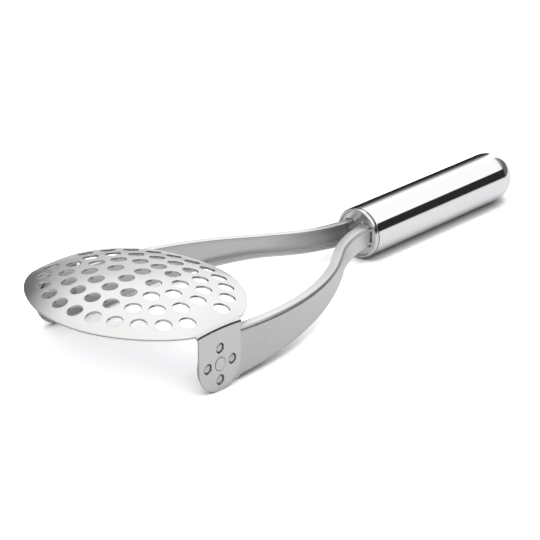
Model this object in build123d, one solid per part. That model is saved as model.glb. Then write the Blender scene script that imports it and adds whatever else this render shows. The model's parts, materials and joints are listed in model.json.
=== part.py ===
from build123d import *
import math
import os

# A folding potato masher in stainless steel, lying in its storage position.
# A domed, perforated head hangs by two folded tongues from two rivets.
# The rivets sit in the flat ends of two channel arms, which sweep inwards
# and are welded into the plug of a hollow handle.
#
# Modelling frame of the functions: X along the handle, +Z up, Y from tongue
# to tongue, origin on the pivot axis in the middle of the head.
# The written parts are then moved so that the origin lies on the surface
# that the masher rests on, under the middle of its length.
# Lengths are millimetres and angles are degrees.

# Head: one pressing of sheet steel
head_sheet = 1.0            # thickness of the head
head_span = 100.0           # outside of one tongue to outside of the other
head_width = 85.2           # the oval's short axis, along the handle
oval_length = 103.2         # the oval's long axis, before it is folded
crown_across = 112.0        # radius of the dome along the handle
crown_along = 162.0         # radius of the dome from tongue to tongue
fold_radius = 2.2           # outside radius where a tongue folds down
fold_inner_radius = 1.2     # inside radius of the same fold

# Perforation: punched holes on oval rings
hole_diameter = 7.0
rim_margin = 8.4            # rim to the centres of the outer ring
ring_step = 10.0            # one ring to the next
hole_pitch = 10.0           # hole to hole along a ring
ring_count = 3
core_across = 4.7           # centre of the head to the two inner holes
core_along = 11.5           # centre of the head to the two outer core holes
bare_strip = 8.0            # no hole centre lies nearer than this to a fold

# Tongues: the two pivot lugs of the head
tongue_width = 24.4
tongue_reach = 17.2         # pivot axis to the outside of the fold
tongue_flare = 1.3          # how far each side widens at the fold
flare_neck = 1.4            # height of the wide part under the fold
detent_pitch_radius = 7.2
detent_diameter = 4.6

# Arms: channels folded from sheet steel
arm_sheet = 1.2
pivot_gap = 0.4             # tongue to arm, the running gap
arm_end_height = 22.4       # height of the channel at the pivot
arm_root_height = 10.8      # height of the channel at the handle
taper_length = 85.0         # over which the height comes down
taper_knee_radius = 150.0   # blend between the taper and the even part
flange_depth = 4.3          # outside of the web to the flange's free edge
flange_start = 14.0         # pivot to where the flanges begin
flange_corner = 2.6         # rounding of the flanges' front corners
arm_bend_radius = 2.0       # outside radius between web and flange
straight_lead = 7.8         # straight web between flange start and sweep
root_offset = 7.4           # handle axis to the outside of an arm's web
neck_share = 0.3            # part of the curve that bends back to straight
neck_overrun = 7.0          # the neck ends this far past the handle's front
tail_length = 14.0          # straight arm inside the handle
dimple_radius = 1.9
dimple_height = 0.25

# Rivets
rivet_radius = 2.0
rivet_head_radius = 2.85
rivet_countersink = 0.85    # depth of the cone
rivet_proud = 0.2           # head above the tongue
rivet_head_round = 0.15
rivet_tail_radius = 3.8
rivet_tail_height = 1.5
rivet_tail_round = 1.1
pivot_clearance = 0.05      # rivet to tongue, on the radius

# Handle
handle_diameter = 24.0
handle_wall = 0.9
pivot_to_handle = 141.8     # pivot axis to the front of the plug's lip
tube_length = 94.0          # straight part of the tube
end_depth = 12.0            # depth of the rounded rear end

# Plug: lipped cap in the front of the tube
lip_length = 2.1            # front of the lip to the seam with the tube
lip_width = 1.5
lip_round = 0.7
seam_width = 0.25           # fine groove between lip and tube
seam_depth = 0.3
face_recess = 1.3           # front of the lip to the plug's flat face
plug_sheet = 1.0
plug_skirt = 8.0            # skirt inside the tube
slot_clearance = 0.12       # arm to slot, all round
weld_radius = 0.85
weld_lift = 0.3             # arm's face to the middle of a bead

# One overrun for every cut that passes right through
cut_overrun = 2.0


# Places worked out from the sizes above
half_span = head_span / 2
half_width = head_width / 2
tongue_radius = tongue_width / 2
handle_radius = handle_diameter / 2
crown_sagitta = crown_along - math.sqrt(crown_along**2 - half_span**2)
apex_height = tongue_reach + crown_sagitta
arm_face = half_span - head_sheet - pivot_gap
arm_end_radius = arm_end_height / 2
sweep_start = flange_start + straight_lead
neck_end = pivot_to_handle + neck_overrun
tail_end = neck_end + tail_length
sweep_run = neck_end - sweep_start
sweep_drop = arm_face - root_offset
sweep_angle = 2 * math.degrees(math.atan(sweep_drop / sweep_run))
curve_radius = sweep_run / math.sin(math.radians(sweep_angle))
neck_radius = curve_radius * neck_share
sweep_radius = curve_radius - neck_radius
plug_face = pivot_to_handle + face_recess
tube_front = pivot_to_handle + lip_length + seam_width
tube_rear = tube_front + tube_length
handle_end = tube_rear + end_depth
rest_height = max(tongue_radius, handle_radius)
middle = (handle_end - half_width) / 2


# Head

def under_crown(depth):
    """Solid under the dome's outer surface, lowered by depth."""
    across = crown_across - depth
    reach = half_width + cut_overrun
    spring = apex_height - crown_across + math.sqrt(across**2 - reach**2)
    floor = -tongue_radius - cut_overrun - depth
    crest = (0, apex_height - depth)
    arch = ThreePointArc((-reach, spring), crest, (reach, spring))
    sides = Polyline((reach, spring), (reach, floor), (-reach, floor), (-reach, spring))
    section = Plane.XZ * make_face(arch + sides)
    centre = apex_height - crown_along
    hinge = Axis((0, 0, centre), (1, 0, 0))
    swing = math.degrees(math.atan2(half_span + cut_overrun, floor - centre))
    return revolve(section.rotate(hinge, -swing), axis=hinge, revolution_arc=2 * swing)


def crown_spot(x, y):
    """Plane on the dome's outer surface above (x, y), its Z along the normal."""
    lean = math.asin(x / crown_across)
    arm = crown_across * math.cos(lean) + crown_along - crown_across
    tilt = math.asin(y / arm)
    outward = Vector(0, math.sin(tilt), math.cos(tilt))
    foot = Vector(0, 0, apex_height - crown_along)
    spot = foot + outward * arm + Vector(x, 0, 0)
    normal = Vector(math.sin(lean), 0, 0) + outward * math.cos(lean)
    return Plane(origin=spot, z_dir=normal)


def hole_centres():
    """Plan positions of the punched holes: oval rings and the core's four."""
    centres = [(core_across, 0), (-core_across, 0), (0, core_along), (0, -core_along)]
    for ring in range(ring_count):
        inset = rim_margin + ring * ring_step
        oval = Edge.make_ellipse(half_width - inset, oval_length / 2 - inset)
        count = 6 * round(oval.length / hole_pitch / 6)
        for index in range(count):
            place = oval.position_at(index / count)
            if half_span - abs(place.Y) > bare_strip:
                centres.append((place.X, place.Y))
    return centres


def tongue_outline():
    """Lug seen along Y: round end on the pivot, straight sides, flared fold."""
    wide = tongue_radius + tongue_flare
    fold = apex_height
    waist = flare_top()
    low = waist - tongue_flare
    outline = [
        ThreePointArc((-tongue_radius, 0), (0, -tongue_radius), (tongue_radius, 0)),
        Line((tongue_radius, 0), (tongue_radius, low)),
        RadiusArc((tongue_radius, low), (wide, waist), -tongue_flare),
        Polyline((wide, waist), (wide, fold), (-wide, fold), (-wide, waist)),
        RadiusArc((-wide, waist), (-tongue_radius, low), -tongue_flare),
        Line((-tongue_radius, low), (-tongue_radius, 0)),
    ]
    return Plane.XZ * make_face(outline)


def flare_top():
    """Height where the wide part under the fold ends and the flare begins."""
    wide = tongue_radius + tongue_flare
    drop = crown_across - math.sqrt(crown_across**2 - wide**2)
    return tongue_reach - drop - flare_neck


def rivet_seat():
    """Countersunk hole for the rivet in the +Y tongue, with its clearance."""
    bore = rivet_radius + pivot_clearance
    mouth = rivet_head_radius + pivot_clearance
    inside = half_span - head_sheet - cut_overrun
    profile = Polyline(
        (0, inside),
        (bore, inside),
        (bore, half_span - rivet_countersink),
        (mouth, half_span),
        (mouth, half_span + cut_overrun),
        (0, half_span + cut_overrun),
        close=True,
    )
    return revolve(make_face(profile), axis=Axis.Y)


def detent_spots(distance):
    """The four detents round the pivot, at a distance from the middle."""
    spots = []
    for quarter in range(4):
        spot = Vector(detent_pitch_radius, 0, 0).rotate(Axis.Y, 90 * quarter)
        spots.append(Plane(origin=spot + Vector(0, distance, 0), z_dir=(0, 1, 0)))
    return spots


def bent_block(depth, corner):
    """Solid inside the bent sheet's face at this depth, its long edges rounded."""
    half = half_span - depth
    side = 4 * (head_width + apex_height)
    block = under_crown(depth) & Box(side, 2 * half, side)
    ridges = [
        edge
        for edge in block.edges().filter_by(lambda edge: edge.length > half_width)
        if abs(abs(edge.center().Y) - half) < corner / 2 and edge.center().Z > 0
    ]
    return fillet(ridges, corner)


def head_outline():
    """Prism of the dome's plan view, joined to the two tongues' side views."""
    wide = tongue_radius + tongue_flare
    plan = Ellipse(half_width, oval_length / 2) + Rectangle(2 * wide, head_span)
    plan = plan & Rectangle(2 * head_width, head_span)
    above = Plane.XY.offset(flare_top()) * plan
    keep = extrude(above, amount=apex_height)
    lug = extrude(tongue_outline(), amount=2 * head_sheet, both=True)
    for side in (-1, 1):
        keep = keep + lug.moved(Location((0, side * half_span, 0)))
    return keep


def mashing_head():
    """The whole pressing: dome, folds, tongues, punched and pivot holes."""
    sheet = bent_block(0, fold_radius) - bent_block(head_sheet, fold_inner_radius)
    punch = Cylinder(hole_diameter / 2, 2 * (head_sheet + cut_overrun))
    head = sheet & head_outline()
    head = head - [crown_spot(x, y) * punch for x, y in hole_centres()]
    pin = Cylinder(detent_diameter / 2, 2 * (head_sheet + cut_overrun))
    bores = [rivet_seat()] + [spot * pin for spot in detent_spots(half_span)]
    return head - bores - [mirror(bore, about=Plane.XZ) for bore in bores]


# Arms: the functions make the +Y arm, and the other one is its mirror image

def arm_line(depth, start):
    """Plan line of the arm at a depth under the web's outer face."""
    swing_centre = (sweep_start, arm_face - sweep_radius)
    sweep = CenterArc(swing_centre, sweep_radius - depth, 90, -sweep_angle)
    neck_centre = (neck_end, root_offset + neck_radius)
    neck = CenterArc(neck_centre, neck_radius + depth, 270 - sweep_angle, sweep_angle)
    lead = Line((start, arm_face - depth), sweep @ 0)
    tail = Line(neck @ 1, (tail_end, root_offset - depth))
    return [lead, sweep, neck, tail]


def arm_band(near, far, start):
    """Plan face between two depths of the arm."""
    outer = arm_line(near, start)
    inner = arm_line(far, start)
    front = Line(outer[0] @ 0, inner[0] @ 0)
    back = Line(outer[-1] @ 1, inner[-1] @ 1)
    return make_face(outer + inner + [front, back])


def arm_profile(inset, start):
    """Side view of the channel, narrowing from the pivot to the handle."""
    root = arm_root_height / 2 - inset
    knee = flange_start + taper_length
    slope = (arm_end_height - arm_root_height) / 2 / taper_length
    rise = root + slope * (knee - start)
    top = FilletPolyline(
        (start, rise), (knee, root), (tail_end, root), radius=taper_knee_radius + inset
    )
    low = mirror(top, about=Plane.XZ)
    ends = [Line(top @ 0, low @ 0), Line(top @ 1, low @ 1)]
    return Plane.XZ * make_face(top.edges() + low.edges() + ends)


def arm_block(near, far, start, corner):
    """Solid between two depths of the arm, its outer long edges rounded."""
    band = extrude(arm_band(near, far, start), amount=arm_end_height, both=True)
    block = band & extrude(arm_profile(near, start), amount=head_span, both=True)
    outer = Wire(arm_line(near, start))
    ridges = []
    for edge in block.edges().filter_by(Axis.Z, reverse=True):
        spot = edge.position_at(0.5)
        if outer.distance_to(Vertex(spot.X, spot.Y, 0)) < corner / 2:
            ridges.append(edge)
    return fillet(ridges, corner)


def arm_channel(growth):
    """Web and flanges, with both faces of the sheet moved out by growth."""
    outer = arm_block(-growth, flange_depth + growth, flange_start, arm_bend_radius + growth)
    inner_radius = arm_bend_radius - arm_sheet - growth
    front = flange_start - cut_overrun
    inner = arm_block(arm_sheet + growth, flange_depth + cut_overrun, front, inner_radius)
    return outer - inner


def dimple_ball():
    """Sphere whose cap over the XY plane is one detent dimple."""
    radius = (dimple_radius**2 + dimple_height**2) / (2 * dimple_height)
    return Pos(0, 0, dimple_height - radius) * Sphere(radius)


def end_plate():
    """Flat round end of the arm, with the rivet's bore."""
    straight = Pos(flange_start / 2, 0) * Rectangle(flange_start, arm_end_height)
    plan = Circle(arm_end_radius) + straight - Circle(rivet_radius)
    return Plane.XZ.offset(-arm_face) * extrude(plan, amount=arm_sheet)


def arm():
    """One arm: round pivot end, flanged channel, straight tail."""
    front = Vector(flange_start, arm_face - flange_depth, 0)
    channel = arm_channel(0)
    corners = []
    for edge in channel.edges().filter_by(Axis.Z):
        gap = edge.center() - front
        if abs(gap.X) + abs(gap.Y) < arm_sheet / 2:
            corners.append(edge)
    body = fillet(corners, flange_corner) + end_plate()
    seat = (Align.CENTER, Align.CENTER, Align.MIN)
    outside = Cylinder(2 * dimple_radius, dimple_height, align=seat)
    for spot in detent_spots(arm_face):
        body = body + spot * (dimple_ball() & outside)
        body = body - spot.offset(-arm_sheet) * dimple_ball()
    return body


# Rivets

def pivot_rivet():
    """Rivet of the +Y pivot: pan tail inside the arm, cone in the tongue."""
    web = arm_face - arm_sheet
    cone_foot = half_span - rivet_countersink
    crown = half_span + rivet_proud
    outline = Polyline(
        (0, web - rivet_tail_height),
        (rivet_tail_radius, web - rivet_tail_height),
        (rivet_tail_radius, web),
        (rivet_radius, web),
        (rivet_radius, cone_foot),
        (rivet_head_radius, half_span),
        (rivet_head_radius, crown),
        (0, crown),
        close=True,
    )
    rivet = revolve(make_face(outline), axis=Axis.Y)
    rims = rivet.edges().filter_by(GeomType.CIRCLE).sort_by(Axis.Y)
    rivet = fillet(rims[0], rivet_tail_round)
    rims = rivet.edges().filter_by(GeomType.CIRCLE).sort_by(Axis.Y)
    return fillet(rims[-1], rivet_head_round)


# Handle

def handle_tube():
    """Hollow tube, open in front, with a rounded rear end."""
    shell = []
    for inset in (0, handle_wall):
        radius = handle_radius - inset
        dome = EllipticalCenterArc((tube_rear, 0), end_depth - inset, radius, 0, arc_size=90)
        side = Polyline(dome @ 1, (tube_front, radius), (tube_front, 0), dome @ 0)
        shell.append(revolve(make_face(dome + side), axis=Axis.X))
    return shell[0] - shell[1]


def plug_blank():
    """Turned form of the plug: lip, seam, skirt and recessed face."""
    bore = handle_radius - handle_wall
    lip_back = pivot_to_handle + lip_length
    outline = Polyline(
        (plug_face, 0),
        (plug_face, handle_radius - lip_width),
        (pivot_to_handle, handle_radius - lip_width),
        (pivot_to_handle, handle_radius),
        (lip_back, handle_radius),
        (lip_back, handle_radius - seam_depth),
        (tube_front, handle_radius - seam_depth),
        (tube_front, bore),
        (tube_front + plug_skirt, bore),
        (tube_front + plug_skirt, bore - plug_sheet),
        (plug_face + plug_sheet, bore - plug_sheet),
        (plug_face + plug_sheet, 0),
        close=True,
    )
    blank = revolve(make_face(outline), axis=Axis.X)
    rims = blank.edges().filter_by(GeomType.CIRCLE).sort_by(Axis.X)[:2]
    return fillet(rims, lip_round)


def handle_plug():
    """Plug with the two C-shaped slots that the arms pass through."""
    slot = arm_channel(slot_clearance)
    return plug_blank() - slot - mirror(slot, about=Plane.XZ)


def weld_spots():
    """Beads where the +Y arm meets the plug: two at the web, two at the flanges."""
    web = root_offset + neck_radius - math.sqrt(neck_radius**2 - (neck_end - plug_face) ** 2)
    root = arm_root_height / 2
    spots = []
    for side in (-1, 1):
        spots.append((web + weld_lift, side * (root - arm_bend_radius)))
        spots.append((web - flange_depth - weld_lift, side * (root + weld_lift)))
    return spots


def arm_welds(arms):
    """All weld beads, seated on the plug's face and on both arms."""
    seat = (Align.CENTER, Align.CENTER, Align.MIN)
    bead = Rot(0, -90, 0) * Sphere(weld_radius, arc_size1=0, align=seat)
    beads = []
    for y, z in weld_spots():
        for side in (-1, 1):
            beads.append(Pos(plug_face, side * y, z) * bead)
    return Compound(beads) - arms


os.makedirs("parts", exist_ok=True)
left = arm()
right = mirror(left, about=Plane.XZ)
rivet = pivot_rivet()
pieces = {
    "mashing_head": mashing_head(),
    "arm_left": left,
    "arm_right": right,
    "pivot_rivet_left": rivet,
    "pivot_rivet_right": mirror(rivet, about=Plane.XZ),
    "handle_tube": handle_tube(),
    "handle_plug": handle_plug(),
    "arm_welds": arm_welds([left, right]),
}
for name, piece in pieces.items():
    export_step(piece.moved(Location((-middle, 0, rest_height))), f"parts/{name}.step")
    print(name, len(piece.solids()), round(piece.volume, 1))
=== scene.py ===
import bpy
import bmesh
import json
import math
from mathutils import Matrix, Vector, geometry


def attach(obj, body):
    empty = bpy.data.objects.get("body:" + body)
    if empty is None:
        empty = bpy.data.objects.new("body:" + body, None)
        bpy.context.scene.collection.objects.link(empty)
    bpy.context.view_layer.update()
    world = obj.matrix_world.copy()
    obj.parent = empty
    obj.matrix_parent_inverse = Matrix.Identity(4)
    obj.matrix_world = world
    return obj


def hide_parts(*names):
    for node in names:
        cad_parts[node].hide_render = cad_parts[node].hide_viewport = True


bl_info = {
    "name": "Folding potato masher",
    "version": (1, 0, 0),
    "blender": (4, 5, 0),
    "location": "3D View > Sidebar > Masher",
    "description": "Builds a folding potato masher in satin and polished steel",
    "category": "Add Mesh",
}

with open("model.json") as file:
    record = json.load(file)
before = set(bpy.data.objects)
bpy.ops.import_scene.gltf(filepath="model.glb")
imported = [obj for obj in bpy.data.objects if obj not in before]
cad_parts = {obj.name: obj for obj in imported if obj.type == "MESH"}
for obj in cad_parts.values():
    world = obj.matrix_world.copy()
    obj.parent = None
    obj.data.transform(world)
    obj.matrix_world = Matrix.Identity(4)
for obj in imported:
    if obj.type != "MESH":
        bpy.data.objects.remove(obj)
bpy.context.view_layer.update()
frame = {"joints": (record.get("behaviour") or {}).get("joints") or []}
hinge = Vector(frame["joints"][0]["pos_m"])

# How finely the shapes are made. Lengths are in metres.
MERGE = 1e-7  # points nearer than this become one
TINY = 1e-9  # shorter lengths count as none
SHARP = math.radians(38)  # faces that meet at more than this keep an edge
CLEAR = 0.0006  # bare band beside a row of close points
DOME_STEP = 0.002
TONGUE_STEP = 0.0015
FLARE_STEP = 0.0003
CHANNEL_STEP = 0.0022
HANDLE_SEGMENTS = 144
RIVET_SEGMENTS = 48
BEAD_SEGMENTS = 20
PUNCH_SEGMENTS = 32
PIN_SEGMENTS = 40
PUNCH_REACH = 0.003  # how far a punch reaches below the outer surface
PIN_REACH = 0.0014
PIN_TOP = 0.001
SOFT = 0.0002  # rounding of the handle's turned edges


# Sizes and finishes that a user may change


def length(name, description, millimetres):
    """Length property with its default given in millimetres"""
    return bpy.props.FloatProperty(
        name=name,
        description=description,
        default=millimetres / 1000,
        min=0,
        unit="LENGTH",
        precision=5,
    )


def amount(name, description, default):
    """Plain number property"""
    return bpy.props.FloatProperty(name=name, description=description, default=default, min=0)


def colour(name, description, default):
    """Colour property"""
    return bpy.props.FloatVectorProperty(
        name=name, description=description, default=default, size=3, subtype="COLOR", min=0, max=1
    )


class MasherHead(bpy.types.PropertyGroup):
    """Sizes of the perforated head"""

    sheet: length("Sheet", "Thickness of the steel", 1.0)
    half_span: length("Half span", "Middle to the outside of a tongue", 50.0)
    half_width: length("Half width", "Middle to the rim, along the handle", 42.6)
    half_oval: length("Half oval", "Middle to the end of the oval before it is folded", 51.6)
    apex: length("Apex", "Pivot to the top of the dome", 25.1)
    across_knee: length("Flat part across", "Middle to where the dome bends more", 21.0)
    across_middle: length("Middle radius across", "Dome radius along the handle", 121.0)
    across_rim: length("Rim radius across", "Dome radius near the rim", 100.0)
    along_knee: length("Flat part along", "Middle to where the dome bends more", 25.0)
    along_middle: length("Middle radius along", "Dome radius from tongue to tongue", 172.0)
    along_rim: length("Rim radius along", "Dome radius near a tongue", 120.0)
    fold_radius: length("Fold radius", "Outside radius of the fold", 2.8)
    tongue: length("Tongue radius", "Half of a tongue's width", 12.2)
    flare: length("Flare", "Widening of a tongue at its fold", 0.6)
    neck: length("Flare neck", "Height of the wide part under the fold", 1.4)
    edge: length("Edge rounding", "Rounding of the sheet's edges", 0.16)


class MasherHoles(bpy.types.PropertyGroup):
    """Perforation of the head"""

    diameter: length("Hole", "Diameter of a punched hole", 7.0)
    margin: length("Rim margin", "Rim to the centres of the outer ring", 8.4)
    step: length("Ring step", "One ring to the next", 10.0)
    core_across: length("Core across", "Middle to the two inner holes", 4.7)
    core_along: length("Core along", "Middle to the two outer core holes", 11.5)
    bare: length("Bare strip", "Least distance from a fold to a hole's centre", 8.0)
    roll: length("Punched edge", "Rounding that the punch leaves", 0.22)
    detent: length("Detent", "Diameter of a detent hole", 4.6)
    detent_ring: length("Detent ring", "Pivot to the detents", 7.2)


class MasherArms(bpy.types.PropertyGroup):
    """Sizes of the two channel arms"""

    sheet: length("Sheet", "Thickness of the steel", 1.2)
    face: length("Face", "Middle to the outside of an arm at its pivot", 48.6)
    end_radius: length("End radius", "Radius of the flat round end", 11.2)
    root_half: length("Root", "Half height at the handle", 5.4)
    knee: length("Knee", "Pivot to where the taper ends", 99.0)
    knee_radius: length("Knee radius", "Blend of the taper", 150.0)
    flange: length("Flange", "Depth of a flange", 5.0)
    flange_start: length("Flange start", "Pivot to the front of a flange", 13.0)
    flange_corner: length("Flange corner", "Length of a flange's rounded front", 2.0)
    bend: length("Bend", "Outside radius between web and flange", 2.0)
    sweep_start: length("Sweep start", "Pivot to where the arm turns inwards", 21.8)
    sweep_end: length("Sweep end", "Pivot to where the arm is straight again", 148.8)
    tail_end: length("Tail end", "Pivot to the arm's end in the handle", 162.8)
    root_offset: length("Root offset", "Middle to the outside of an arm at the handle", 7.4)
    neck_share: bpy.props.FloatProperty(
        name="Neck share",
        description="Part of the curve that bends back",
        default=0.3,
        min=0.05,
        max=0.9,
    )
    dimple: length("Dimple", "Radius of a detent dimple", 2.24)
    dimple_height: length("Dimple height", "Height of a detent dimple", 1.12)
    dimple_ring: length("Dimple ring", "Pivot to the detent dimples", 7.2)
    edge: length("Edge rounding", "Rounding of the sheet's edges", 0.16)


class MasherRivets(bpy.types.PropertyGroup):
    """Sizes of the rivets and the weld beads"""

    shank: length("Shank", "Radius of the shank", 2.0)
    head: length("Head", "Radius of the flat head", 2.85)
    cone: length("Cone", "Depth of the countersink", 0.85)
    proud: length("Proud", "Height of the head above the tongue", 0.2)
    tail: length("Tail", "Radius of the tail inside the arm", 3.8)
    tail_height: length("Tail height", "Height of the tail", 1.5)
    clearance: length("Clearance", "Rivet to tongue", 0.05)
    shoulder: length("Shoulder", "Height of the flat head's upright edge", 0.42)
    groove: length("Groove", "Width of the groove round the flat head", 0.28)
    bead: length("Bead", "Radius of a weld bead", 0.85)
    bead_lift: length("Bead lift", "Arm's face to the middle of a bead", 0.3)


class MasherHandle(bpy.types.PropertyGroup):
    """Sizes of the handle tube and its plug"""

    radius: length("Radius", "Radius of the handle", 12.0)
    wall: length("Wall", "Thickness of the tube", 0.9)
    front: length("Front", "Pivot to the front of the lip", 141.8)
    tube: length("Tube", "Straight part of the tube", 93.95)
    end: length("End", "Depth of the rounded end", 12.0)
    lip: length("Lip", "Front of the lip to the seam", 2.1)
    lip_width: length("Lip width", "Width of the lip's ring", 1.5)
    lip_round: length("Lip rounding", "Rounding of the lip", 0.7)
    seam: length("Seam", "Width of the groove behind the lip", 0.3)
    seam_depth: length("Seam depth", "Depth of that groove", 0.6)
    recess: length("Recess", "Front of the lip to the flat face", 1.3)
    plug_sheet: length("Plug sheet", "Thickness of the plug", 1.0)
    skirt: length("Skirt", "Length of the skirt inside the tube", 8.0)
    slot_gap: length("Slot gap", "Gap round an arm in the plug's face", 0.3)
    slot_wide: length("Slot outer gap", "Gap outside an arm's web in the plug's face", 0.75)
    slot_depth: length("Slot depth", "Depth of that gap", 0.7)


class MasherFinish(bpy.types.PropertyGroup):
    """Colours and roughness of the steels"""

    head_colour: colour("Satin steel", "Colour of the head", (0.72, 0.717, 0.708))
    head_rough: amount("Satin roughness", "Roughness of the head", 0.17)
    arm_colour: colour("Arm steel", "Colour of the arms", (0.64, 0.635, 0.632))
    arm_rough: amount("Arm roughness", "Roughness of the arms", 0.29)
    rivet_colour: colour("Rivet steel", "Colour of rivets and welds", (0.74, 0.735, 0.725))
    rivet_rough: amount("Rivet roughness", "Roughness of rivets and welds", 0.30)
    handle_colour: colour("Polished steel", "Colour of the handle tube", (0.83, 0.83, 0.832))
    handle_rough: amount("Polish roughness", "Roughness of the handle tube", 0.05)
    plug_colour: colour("Turned steel", "Colour of the plug", (0.74, 0.738, 0.732))
    plug_rough: amount("Turned roughness", "Roughness of the plug", 0.14)


class MasherStage(bpy.types.PropertyGroup):
    """Floor, light and camera"""

    floor_colour: colour("Floor", "Colour of the floor", (0.795, 0.79, 0.805))
    floor_camera: amount("Floor for the camera", "Times brighter that the camera sees it", 2.3)
    floor_mirror: amount("Floor in the metal", "Times brighter that reflections see it", 1.12)
    sky: amount("Sky", "Strength of the plain sky", 0.55)
    window: amount("Window", "Strength that the sky gains high up in front", 1.4)
    lamp: amount("Lamp", "Power of the soft lamp in watts", 5.0)
    softbox: amount("Softbox", "Brightness of the softbox in reflections", 1.34)
    wall: amount("Wall", "Brightness of the dark walls in reflections", 0.026)
    lens: bpy.props.FloatProperty(
        name="Lens", description="Focal length", default=160, unit="CAMERA"
    )


class MasherSettings(bpy.types.PropertyGroup):
    """Everything that the masher is built from"""

    head: bpy.props.PointerProperty(type=MasherHead)
    holes: bpy.props.PointerProperty(type=MasherHoles)
    arms: bpy.props.PointerProperty(type=MasherArms)
    rivets: bpy.props.PointerProperty(type=MasherRivets)
    handle: bpy.props.PointerProperty(type=MasherHandle)
    finish: bpy.props.PointerProperty(type=MasherFinish)
    stage: bpy.props.PointerProperty(type=MasherStage)


# Node trees written as expressions


def maths(operation, swapped=False):
    """Method of Wire that adds one Math node"""

    def method(self, other=None):
        pair = (other, self) if swapped else (self, other)
        inputs = {place: value for place, value in enumerate(pair) if value is not None}
        return self.bench.add("ShaderNodeMath", inputs, operation=operation)[0]

    return method


class Wire:
    """Socket of a node tree that takes part in arithmetic"""

    def __init__(self, bench, socket):
        self.bench = bench
        self.socket = socket

    __add__ = maths("ADD")
    __radd__ = maths("ADD", swapped=True)
    __sub__ = maths("SUBTRACT")
    __rsub__ = maths("SUBTRACT", swapped=True)
    __mul__ = maths("MULTIPLY")
    __rmul__ = maths("MULTIPLY", swapped=True)
    __truediv__ = maths("DIVIDE")
    __gt__ = maths("GREATER_THAN")
    __abs__ = maths("ABSOLUTE")
    most = maths("MAXIMUM")

    def rise(self, low, high):
        """Smooth step from 0 at low to 1 at high"""
        inputs = {"Value": self, "From Min": low, "From Max": high}
        kind = "ShaderNodeMapRange"
        return self.bench.add(kind, inputs, interpolation_type="SMOOTHSTEP")["Result"]


class Made:
    """Node whose outputs are read as Wires, by number or name"""

    def __init__(self, bench, node):
        self.bench = bench
        self.node = node

    def __getitem__(self, key):
        return Wire(self.bench, find_socket(self.node.outputs, key))


def find_socket(sockets, key):
    """Socket by number, identifier or name"""
    if isinstance(key, int):
        return sockets[key]
    for socket in sockets:
        if socket.identifier == key:
            return socket
    return sockets[key]


class Bench:
    """Adds nodes to one tree"""

    def __init__(self, tree):
        self.tree = tree

    def add(self, kind, inputs=None, stops=None, **settings):
        """One node, from its type, its sockets' values or links, and its settings"""
        node = self.tree.nodes.new(kind)
        for key, value in settings.items():
            setattr(node, key, value)
        if stops:
            set_stops(node.color_ramp, stops)
        for key, value in (inputs or {}).items():
            socket = find_socket(node.inputs, key)
            for item in value if isinstance(value, list) else [value]:
                if isinstance(item, Wire):
                    self.tree.links.new(item.socket, socket)
                else:
                    socket.default_value = item
        return Made(self, node)

    def parts(self, vector):
        """X, Y and Z of a vector"""
        made = self.add("ShaderNodeSeparateXYZ", {"Vector": vector})
        return made["X"], made["Y"], made["Z"]

    def joined(self, x, y, z):
        """Vector from its X, Y and Z"""
        return self.add("ShaderNodeCombineXYZ", {"X": x, "Y": y, "Z": z})["Vector"]

    def scaled(self, vector, times):
        """Vector or colour, made longer or brighter"""
        inputs = {0: vector, "Scale": times}
        return self.add("ShaderNodeVectorMath", inputs, operation="SCALE")["Vector"]

    def place(self):
        """Object coordinates"""
        return self.add("ShaderNodeTexCoord")["Object"]

    def attribute(self, name):
        """Value that a mesh carries on its faces"""
        return self.add("ShaderNodeAttribute", attribute_name=name)["Fac"]

    def mixed(self, share, first, second):
        """Colour between two colours"""
        inputs = {"Factor_Float": share, "A_Color": first, "B_Color": second}
        return self.add("ShaderNodeMix", inputs, data_type="RGBA")["Result_Color"]

    def shape_of(self, helper):
        """Geometry of an object that the tree is given"""
        kind = "GeometryNodeObjectInfo"
        return self.add(kind, {"Object": helper}, transform_space="ORIGINAL")["Geometry"]

    def cut_away(self, body, tools):
        """Body without what the tools fill"""
        inputs = {"Mesh 1": body, "Mesh 2": tools}
        settings = {"operation": "DIFFERENCE", "solver": "EXACT"}
        return self.add("GeometryNodeMeshBoolean", inputs, **settings)["Mesh"]


def set_stops(ramp, stops):
    """Stops of a colour ramp, as pairs of a place and a grey"""
    while len(ramp.elements) < len(stops):
        ramp.elements.new(1)
    for element, (place, grey) in zip(ramp.elements, stops):
        element.position = place
        element.color = (grey, grey, grey, 1)


def new_tree(name, **inputs):
    """Bench of a new geometry tree, and the inputs that it is given"""
    tree = bpy.data.node_groups.new(name, "GeometryNodeTree")
    inputs = {"Geometry": ("Geometry",), **inputs, "Material": ("Material",)}
    for kind, labels in inputs.items():
        for label in labels:
            tree.interface.new_socket(label, in_out="INPUT", socket_type="NodeSocket" + kind)
    tree.interface.new_socket("Geometry", in_out="OUTPUT", socket_type="NodeSocketGeometry")
    bench = Bench(tree)
    return bench, bench.add("NodeGroupInput")


def end_tree(bench, shape, material):
    """Finished tree: real geometry with its material"""
    real = bench.add("GeometryNodeRealizeInstances", {"Geometry": shape})["Geometry"]
    last = bench.add("GeometryNodeSetMaterial", {"Geometry": real, "Material": material})
    bench.add("NodeGroupOutput", {0: last["Geometry"]})
    return bench.tree


# Finishes

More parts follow.
